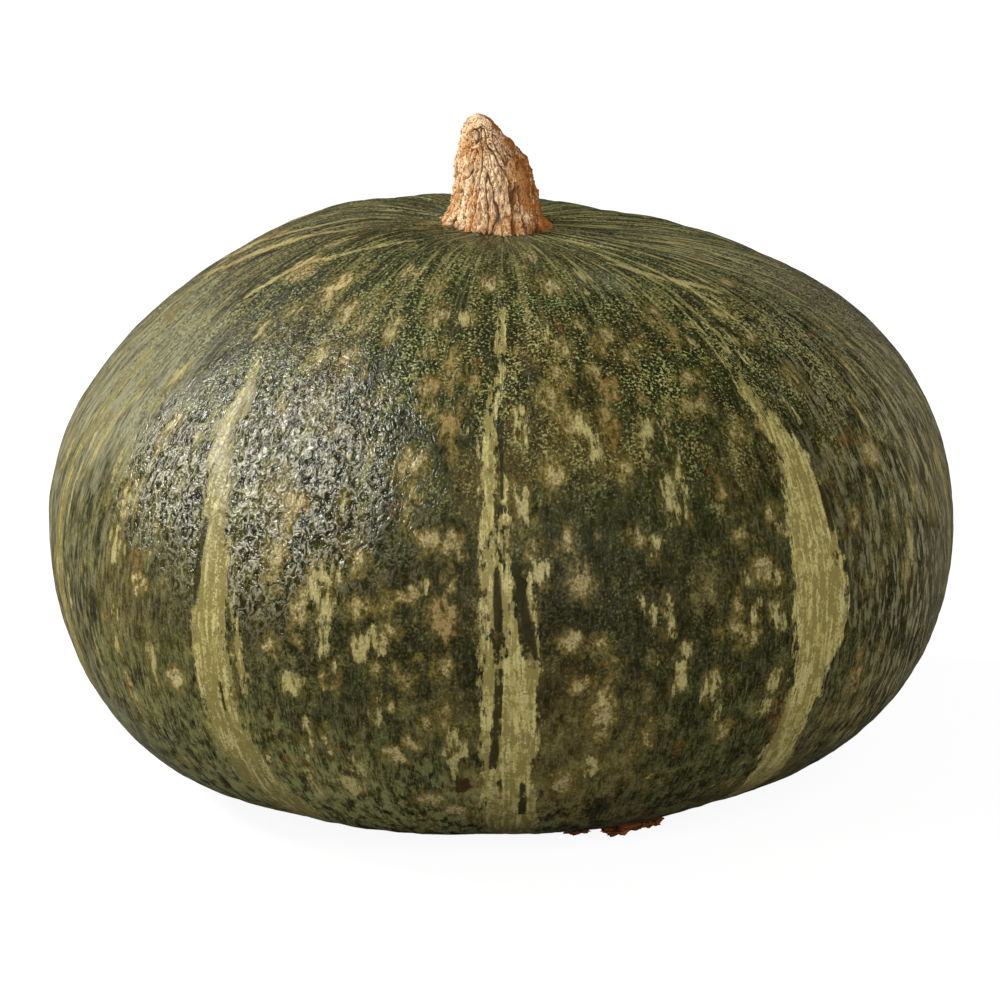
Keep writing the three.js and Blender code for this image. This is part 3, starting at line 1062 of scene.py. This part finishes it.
    def survey(self, mesh: bpy.types.Mesh) -> RindPoints:
        """Reads where the rind's points are, and takes the working values off its mesh.

        Args:
            mesh: The fruit's mesh.

        Returns:
            The points.
        """
        angles = [np.zeros(len(mesh.vertices), np.float32) for _ in range(2)]
        for values, name in zip(angles, ("longitude", "latitude")):
            mesh.attributes[name].data.foreach_get("value", values)
        for name in self.WORKING_VALUES:
            mesh.attributes.remove(mesh.attributes[name])
        return RindPoints(np.array([vertex.co for vertex in mesh.vertices]) / MM, *angles)

    def scattered(self) -> list[Fleck]:
        """Draws the flecks that have no set place.

        Returns:
            Small flecks all over, and larger ones round the back.
        """
        draw = random.Random(self.seed)
        flecks = []
        for number in range(self.small_flecks + self.back_flecks):
            small = number < self.small_flecks
            latitude = math.degrees(math.asin(draw.uniform(-0.8, 0.92)))
            longitude = draw.uniform(0, 360) if small else draw.uniform(78, 282)
            across = draw.uniform(1.0, 2.8) if small else draw.uniform(2.4, 5.5)
            along = across * draw.uniform(1.0, 2.2)
            kinds = (Mark.TAN,) * (2 if small else 3) + (Mark.PALE, Mark.RUST)
            tilt = draw.uniform(-20, 20)
            flecks.append(Fleck(draw.choice(kinds), longitude, latitude, across, along, tilt))
        return flecks

    def rays(self) -> list[Course]:
        """Draws the pale lines that run out from the stem, each with the painted shade of a crease
        beside it.

        Returns:
            Lines on both flanks, which wander a little.
        """
        draw = random.Random(self.seed + 1)
        steps, crease_offset = 6, 0.75
        rays = []
        for _ in range(self.ray_count):
            longitude = draw.choice((-90, 90, 90)) + draw.gauss(0, 22)
            wander = draw.gauss(0, 3)
            high, low = draw.uniform(70, 80), draw.uniform(46, 68)
            width = draw.uniform(0.35, 0.9)
            stops, beside = [], []
            for step in range(steps):
                latitude = high + (low - high) * step / (steps - 1)
                turn = longitude + wander * math.sin(step * 1.1)
                taper = math.sin(math.pi * (step + 0.7) / (steps + 0.4))
                stops.append((latitude, turn, width * taper))
                distance = self.sizes.girth_radius * math.cos(math.radians(latitude))
                gap = math.degrees(crease_offset / distance)
                beside.append((latitude, turn + math.copysign(gap, -longitude), width * taper))
            rays += [Course(RAY, tuple(stops)), Course(CREASE, tuple(beside))]
        return rays

    def mark(self, mesh: bpy.types.Mesh, rind: RindPoints) -> None:
        """Stores on the mesh how far each point is from each kind of mark, and its fields.

        Args:
            mesh: The fruit's mesh.
            rind: Its points.
        """
        gaps = {mark: np.full(len(rind.places), FAR) for mark in Mark}
        placed = [Fleck(mark, *sizes) for mark, rows in FLECKS.items() for sizes in rows]
        for item in (*COURSES, *placed, *self.scattered(), *self.rays()):
            gaps[item.mark] = np.minimum(gaps[item.mark], item.gap(rind))
        scar = np.minimum(rind.radius - self.scar_radius, FAR)
        gaps[Mark.SCAR] = np.where(rind.latitude < 0, scar, FAR)
        round_shade = np.abs(rind.longitude - self.shade_middle[0]) / self.shade_reach[0]
        up_shade = (rind.latitude - self.shade_middle[1]) / self.shade_reach[1]
        from_sun = np.abs(wrapped(rind.longitude - self.sun_longitude))
        from_sun = from_sun - np.maximum(-rind.latitude, 0)  # its low light reached further round
        fields = {
            Field.BLOOM: rind.patches(self.bloom_patches),
            Field.GIRTH: np.exp(-(up_shade**2)) * np.clip(1.35 - round_shade, 0, 1),
            Field.CRINKLE: rind.patches(self.crinkle_patches),
            Field.CROWN: np.clip(rind.latitude / 90, 0, 1),
            Field.BASE: np.clip(-rind.latitude / 90, 0, 1),
            Field.FLANK: np.abs(np.sin(np.radians(rind.longitude))),
            Field.SUN: np.clip((self.sun_reach - from_sun) / self.sun_fade, 0, 1),
        }
        values = {**gaps, **fields}
        store_values(mesh, {kind.value: row.astype(np.float32) for kind, row in values.items()})

    def unwrap(self, mesh: bpy.types.Mesh, rind: RindPoints) -> None:
        """Lays the rind out flat for baking: the front half below, the back half above.

        Args:
            mesh: The fruit's mesh.
            rind: Its points.
        """
        corners = np.zeros(len(mesh.loops), np.int32)
        mesh.loops.foreach_get("vertex_index", corners)
        sizes = np.zeros(len(mesh.polygons), np.int32)
        mesh.polygons.foreach_get("loop_total", sizes)
        longitude, latitude = rind.longitude[corners], rind.latitude[corners]
        pole = np.abs(latitude) > 89.9
        face = np.repeat(np.arange(len(sizes)), sizes)
        count = np.bincount(face, ~pole)
        turn = np.radians(longitude)
        east = np.bincount(face, np.sin(turn) * ~pole) / count
        north = np.bincount(face, np.cos(turn) * ~pole) / count
        middle = np.degrees(np.arctan2(east, north))[face]
        longitude = middle + np.where(pole, 0, wrapped(longitude - middle))
        back = np.abs(middle) > 90
        longitude = np.where(back, (longitude % 360) - 180, longitude)
        margin = 0.004
        wide = margin + (1 - 2 * margin) * (longitude + 90) / 180
        tall = margin + (0.5 - 2 * margin) * (latitude + 90) / 180 + 0.5 * back
        layer = mesh.uv_layers.new(name="OFBake")
        layer.data.foreach_set("uv", np.stack([wide, tall], 1).astype(np.float32).ravel())


# ---- The stem ------------------------------------------------------------------------------------


@dataclass
class Stem:
    """The cut stem: a corky stump, cracked into upright ribs, with a ragged foot on the rind.

    Attributes:
        height: From the dimple to the tip, in mm.
        waist_radius: Its radius above the foot, in mm.
        foot_flare: How far the foot spreads past the waist, in mm.
        flare_height: The share of the height over which that spread dies away.
        round_off: How blunt the end is.
        offset: Where the foot is from the fruit's axis, towards +X, in mm.
        lean: How far the tip leans towards +X, in mm.
        slant: How much lower the cut end is on the right, in mm.
        shoulder_cut: How far the end is pared away on the right, in mm.
        rib_width: Width of a rib in mm.
        rib_length: Length over which a rib changes, in mm.
        crack_depth: Depth of the cracks between the ribs, in mm.
        crack_sharpness: How steep the cracks' sides are.
        lump_height: Height of its lumps in mm.
        grain_height: Height of its fine grain in mm.
        tendril_height: How far the ragged foot's tendrils reach out, in mm.
        rough_height: Height of the cut end's roughness, in mm.
        foot_share: The share of the height over which the foot's warm colour dies away.
        shade_turn: Where the side given painted shade, away from the key lamp, begins, in radians.
        seat: The foot's clearance over the rind in mm.
        seed: Fixes how the cracks bend.
        segments: Facets round it.
        rings: Facets from its foot to its tip.
        finish: Its finish.
    """

    height: float = 22.4
    waist_radius: float = 7.9
    foot_flare: float = 2.9
    flare_height: float = 0.15
    round_off: float = 3.4
    offset: float = -1.1
    lean: float = -2.2
    slant: float = 1.8
    shoulder_cut: float = 2.0
    rib_width: float = 1.6
    rib_length: float = 9.0
    crack_depth: float = 1.3
    crack_sharpness: float = 6
    lump_height: float = 0.45
    grain_height: float = 0.45
    tendril_height: float = 2.6
    rough_height: float = 0.5
    foot_share: float = 0.12
    shade_turn: float = 0.3
    seat: float = 0.1
    seed: int = 4
    segments: int = 300
    rings: int = 200
    finish: Finish = DriedCork()

    def make(self, fruit: Fruit) -> bpy.types.Object:
        """Builds the stem on the fruit's crown.

        Args:
            fruit: The fruit it stands on.

        Returns:
            The stem's object.
        """
        noise.seed_set(self.seed)  # else the cracks bend differently each time
        crown = BVHTree.FromObject(fruit.object, bpy.context.evaluated_depsgraph_get())
        tip_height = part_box("stem")[1].z / MM
        points: list[Vector] = []
        cracks: list[float] = []
        feet: list[float] = []
        sides: list[float] = []
        for ring in range(self.rings):
            share = math.sin(0.5 * math.pi * ring / self.rings)
            for step in range(self.segments):
                longitude = 2 * math.pi * step / self.segments
                place, crack = self.side_point(share, longitude, crown, tip_height)
                points.append(place * MM)
                cracks.append(crack)
                feet.append(math.exp(-share / self.foot_share))
                # The side away from the key lamp is marked for painted shade.
                sides.append(max(0.0, math.sin(longitude - self.shade_turn)))
        points.append(Vector((self.offset, 0, tip_height - self.height - 3)) * MM)
        points.append(Vector((self.offset + self.lean, 0, tip_height - 0.3)) * MM)
        faces = []
        root, tip = len(points) - 2, len(points) - 1
        across, last = self.segments, (self.rings - 1) * self.segments
        for step in range(across):
            after = (step + 1) % across
            faces += [(root, after, step), (last + step, last + after, tip)]
            for below in range(0, last, across):
                above = below + across
                faces.append((below + step, below + after, above + after, above + step))
        mesh = bpy.data.meshes.new("stem_cork")
        mesh.from_pydata(points, [], faces)
        mesh.shade_smooth()
        ends = {"crack_depth": cracks + [0, 0], "foot": feet + [1, 0]}
        store_values(mesh, ends | {"rain_side": sides + [0, 0]})
        mesh.materials.append(self.finish.make())
        stem = add_object("stem_cork", mesh)
        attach(stem, "root")
        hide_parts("stem")
        log.info("stem: %d faces", len(mesh.polygons))
        return stem

    def side_point(
        self, share: float, longitude: float, crown: BVHTree, tip_height: float
    ) -> tuple[Vector, float]:
        """Finds a point on the stem's side.

        Args:
            share: How far up the stem, from 0 at the foot to 1 at the tip.
            longitude: Radians round the stem.
            crown: The fruit's rind.
            tip_height: The tip's height in mm.

        Returns:
            The point in mm, and how deep in a crack it is, from 0 to 1.
        """
        side, front = math.sin(longitude), math.cos(longitude)
        waist = self.waist_radius * math.sqrt(1 - share**self.round_off)
        radius = waist + self.foot_flare * math.exp(-share / self.flare_height)
        height = share * self.height

        # Wide and narrow cracks part the ribs, and die away just below the tip.
        spot = Vector((side, -front, 0)) * max(waist, 0.3)
        upright = Vector((0, 0, height / self.rib_length))
        bend = noise.noise_vector(spot * 0.2 + upright * 1.7) * 0.35
        wide = noise.noise(spot / self.rib_width + upright + bend)
        narrow = noise.noise(spot * 2.2 / self.rib_width + upright * 2.2 + bend)
        crack = max(0.0, 1 - abs(wide) * self.crack_sharpness) ** 1.2
        fine_crack = 0.6 * max(0.0, 1 - abs(narrow) * self.crack_sharpness)
        crack = max(crack, fine_crack) * min(1.0, (1.04 - share) * 7)

        # Lumps and grain cover it, tendrils run out from its foot, and its right shoulder is pared.
        fine = noise.fractal((spot + Vector((0, 0, height * 0.6))) * 1.8, 0.7, 2.2, 2)
        lump = noise.noise(spot * 0.25 + Vector((5, 0, height * 0.22)))
        tendril = abs(noise.noise(spot * 2.0 + Vector((0, 9, height * 0.4))))
        soften = min(1.0, waist / self.waist_radius + 0.25)
        relief = self.lump_height * lump + self.grain_height * fine - self.crack_depth * crack
        radius += relief * soften
        radius += self.tendril_height * (tendril - 0.2) * math.exp(-share / 0.06)
        radius -= self.shoulder_cut * math.exp(-(((share - 0.86) / 0.2) ** 2)) * max(side, 0)

        x = self.offset + self.lean * share**3 + radius * side
        y = -radius * front
        above, down = Vector((x, y, 200)) * MM, Vector((0, 0, -1))
        floor = crown.ray_cast(above, down)[0].z / MM + self.seat
        drop = self.slant * share**3 * side * (waist / self.waist_radius)
        rough = self.rough_height * noise.noise(Vector((x, y, height)) * 0.6) * min(share * 3, 1)
        z = floor + (tip_height - 0.5 - floor) * share - drop + rough
        return Vector((x, y, z)), crack


# ---- Crust ---------------------------------------------------------------------------------------


@dataclass(frozen=True)
class Crust:
    """A dry crust on the rind where it lay on the ground.

    Attributes:
        longitude: Where it is, in degrees.
        latitude: Degrees above the girth as seen from the fruit's middle.
        across: Its width in mm.
        along: Its height in mm.
        thick: How far it stands off the rind in mm.
        swell: How far its knobs swell it.
        rings: Facets from its back to its front.
        segments: Facets round it.
    """

    longitude: float
    latitude: float
    across: float
    along: float
    thick: float
    swell: float = 0.45
    rings: int = 24
    segments: int = 48

    def make(self, number: int, fruit: Fruit, material: bpy.types.Material) -> bpy.types.Object:
        """Builds the crust on the rind.

        Args:
            number: Its number, for its name.
            fruit: The fruit it lies on.
            material: Its finish.

        Returns:
            The crust's object.
        """
        skin = BVHTree.FromObject(fruit.object, bpy.context.evaluated_depsgraph_get())
        ray = direction(self.longitude, self.latitude)
        spot, outward = skin.ray_cast(Vector((0, 0, fruit.sizes.rest_depth * MM)), ray)[:2]
        outward = outward if outward.dot(ray) > 0 else -outward
        turn = math.radians(self.longitude)
        north = outward.cross(Vector((math.cos(turn), math.sin(turn), 0))).normalized()
        east = north.cross(outward)
        points, cracks, faces = [], [], []
        for ring in range(self.rings + 1):
            bow = math.pi * (ring / self.rings - 0.5)
            for step in range(self.segments):
                round_turn = 2 * math.pi * step / self.segments
                way = Vector((math.cos(round_turn), math.sin(round_turn), 0)) * math.cos(bow)
                way.z = math.sin(bow)
                knobs = noise.fractal(way * 2.2 + Vector((number * 7.0, 0, 0)), 0.6, 2.0, 4)
                place = (
                    east * way.x * self.across / 2
                    + north * way.y * self.along / 2
                    + outward * way.z * self.thick
                ) * (1 + self.swell * knobs)
                points.append(spot + place * MM)
                # The low spots between the knobs get painted shade.
                cracks.append(max(0.0, min(1.0, 0.35 - knobs)))
        for ring in range(self.rings):
            low, high = ring * self.segments, (ring + 1) * self.segments
            for step in range(self.segments):
                after = (step + 1) % self.segments
                faces.append((low + step, low + after, high + after, high + step))
        mesh = bpy.data.meshes.new(f"ground_crust_{number}")
        mesh.from_pydata(points, [], faces)
        mesh.shade_smooth()
        full = [1.0] * len(points)
        # The whole crust takes the painted shade of the side away from the lamp.
        store_values(mesh, {"crack_depth": cracks, "foot": full, "rain_side": full})
        mesh.materials.append(material)
        crust = add_object(f"ground_crust_{number}", mesh)
        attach(crust, "root")
        return crust


CRUST_FINISH = DriedCork(
    name="ground_crust",
    tone="#6a3c1c",
    # The crack colour is painted shade between the crust's knobs.
    layers=(("brown", "#48250d"), ("orange", "#96582a"), ("crack", "#241004")),
)
CRUSTS = (
    Crust(26, -41.5, 8.5, 5, 1.7),
    Crust(31.5, -40.5, 5, 3.6, 1.4),
    Crust(17, -44, 5, 2.4, 0.9),
)


# ---- The studio ----------------------------------------------------------------------------------


@dataclass(frozen=True)
class Softbox:
    """A soft lamp aimed at the fruit.

    Attributes:
        name: What it is.
        azimuth: Degrees round from the front, towards +X.
        elevation: Degrees above the floor.
        distance: Metres from the fruit.
        size: Metres across.
        watts: Its power.
        shines: Whether gloss mirrors it. A fill lamp behind a polarising sheet isn't mirrored.
    """

    name: str
    azimuth: float
    elevation: float
    distance: float
    size: float
    watts: float
    shines: bool = True

    def place(self, target: Vector) -> None:
        """Hangs the lamp and aims it.

        Args:
            target: What it is aimed at.
        """
        light = bpy.data.lights.new(self.name, "AREA")
        light.shape = "DISK"
        light.size = self.size
        light.energy = self.watts
        lamp = add_object(self.name, light)
        way = direction(self.azimuth, self.elevation)
        lamp.location = target + way * self.distance
        lamp.rotation_euler = way.to_track_quat("Z", "Y").to_euler()
        lamp.visible_glossy = self.shines


BACKDROP_RULES = """
wall = clip(behind/0.3) * clip(1 - 4*up)
mirrored = dark_side + (backdrop - dark_side)*wall
rest = gloss*mirrored + (1 - gloss)*ambient
white = max(camera, through)
level = white + (1 - white)*rest
"""


@dataclass
class Studio:
    """The pale floor, the white backdrop, the lamps and the camera.

    Attributes:
        middle: The middle of the fruit, which the lamps and the camera are aimed at.
        camera_elevation: The camera's height above the floor, in degrees.
        camera_distance: Metres from the middle.
        lens: The camera's focal length in mm.
        shift: The camera's shift, as shares of the sensor's width.
        ambient: How bright the backdrop is to the rind and the floor.
        backdrop: How bright it is in gloss, behind the fruit.
        dark_side: How bright it is in gloss, all round and above.
        floor_size: Metres across.
        floor_tone: The floor's colour.
        floor_gloss_tone: Its colour in gloss, most of which the lens's polarising filter takes.
        floor_glow: How far its light is lifted to the eye.
        lamps: The lamps.
    """

    middle: Vector
    camera_elevation: float = 15.0
    camera_distance: float = 1.5
    lens: float = 271.4
    shift: tuple[float, float] = (-0.0012, 0.024)
    ambient: float = 0.2
    backdrop: float = 0.12
    dark_side: float = 0.01
    floor_size: float = 12.0
    floor_tone: str = "#787878"
    floor_gloss_tone: str = "#383838"
    floor_glow: float = 0.91
    lamps: tuple[Softbox, ...] = (
        Softbox("key_softbox", -88, 40, 1.2, 0.36, 14.5),
        Softbox("front_softbox", 14, 18, 1.6, 1.0, 18, shines=False),
        Softbox("left_reflector", -66, 4, 1.2, 0.24, 7, shines=False),
        Softbox("right_reflector", 78, 8, 1.2, 0.24, 3.5, shines=False),
    )

    def make(self) -> None:
        """Builds all of it."""
        for lamp in self.lamps:
            lamp.place(self.middle)
        self.lay_floor()
        self.light_backdrop()
        self.set_camera()
        bpy.context.scene.view_settings.view_transform = "Standard"
        log.info("studio: %d lamps", len(self.lamps))

    def lay_floor(self) -> None:
        """Lays a pale floor that keeps the fruit's shadow."""
        material = bpy.data.materials.new("pale_paper_floor")
        tree = emptied(material)
        seen = add_node(tree, "ShaderNodeLightPath").outputs
        shades = {6: linear(self.floor_tone), 7: linear(self.floor_gloss_tone)}
        shades[0] = seen["Is Glossy Ray"]
        shade = add_node(tree, "ShaderNodeMix", {"data_type": "RGBA"}, shades).outputs[2]
        paper = add_node(tree, "ShaderNodeBsdfDiffuse", None, {"Color": shade})
        feeds = {"Color": (1, 1, 1, 1), "Strength": self.floor_glow}
        glow = add_node(tree, "ShaderNodeEmission", None, feeds)
        both = add_node(tree, "ShaderNodeAddShader", None, {0: paper, 1: glow})
        feeds = {0: seen["Is Camera Ray"], 1: paper, 2: both}
        mix = add_node(tree, "ShaderNodeMixShader", None, feeds)
        add_node(tree, "ShaderNodeOutputMaterial", None, {"Surface": mix})
        half = self.floor_size / 2
        mesh = bpy.data.meshes.new("floor")
        corners = [(-half, -half, 0), (half, -half, 0), (half, half, 0), (-half, half, 0)]
        mesh.from_pydata(corners, [], [(0, 1, 2, 3)])
        mesh.materials.append(material)
        add_object("floor", mesh)

    def light_backdrop(self) -> None:
        """Makes the backdrop white to the eye, and a soft fill or a dark gloss for the rest."""
        world = bpy.data.worlds.new("backdrop")
        tree = emptied(world)
        seen = add_node(tree, "ShaderNodeLightPath").outputs
        way = add_node(tree, "ShaderNodeTexCoord").outputs["Generated"]
        way = add_node(tree, "ShaderNodeSeparateXYZ", None, {0: way}).outputs
        known: dict[str, Feed] = {
            "camera": seen["Is Camera Ray"],
            "through": seen["Is Transmission Ray"],
            "gloss": seen["Is Glossy Ray"],
            "behind": way["Y"],
            "up": way["Z"],
            "backdrop": self.backdrop,
            "ambient": self.ambient,
            "dark_side": self.dark_side,
        }
        add_rules(tree, BACKDROP_RULES, known)
        feeds = {"Color": (1, 1, 1, 1), "Strength": known["level"]}
        back = add_node(tree, "ShaderNodeBackground", None, feeds)
        add_node(tree, "ShaderNodeOutputWorld", None, {"Surface": back})
        bpy.context.scene.world = world

    def set_camera(self) -> None:
        """Sets the camera a little above the fruit's shoulder, straight in front."""
        data = bpy.data.cameras.new("camera")
        data.lens = self.lens
        data.sensor_width = 36.0
        data.shift_x, data.shift_y = self.shift
        data.clip_start, data.clip_end = 0.05, 50.0
        camera = add_object("camera", data)
        camera.location = self.middle + direction(0, self.camera_elevation) * self.camera_distance
        camera.rotation_euler = (math.radians(90 - self.camera_elevation), 0, 0)
        bpy.context.scene.camera = camera


def main() -> None:
    """Builds the squash and the studio, in order."""
    logging.basicConfig(level=logging.INFO, format="%(name)s: %(message)s")
    fruit = Fruit()
    fruit.make()
    Stem().make(fruit)
    material = CRUST_FINISH.make()
    for number, crust in enumerate(CRUSTS, 1):
        crust.make(number, fruit, material)
    log.info("crusts: %d", len(CRUSTS))
    Studio(middle=Vector((0, 0, fruit.sizes.rest_depth * MM))).make()


if __name__ == "__main__":
    main()
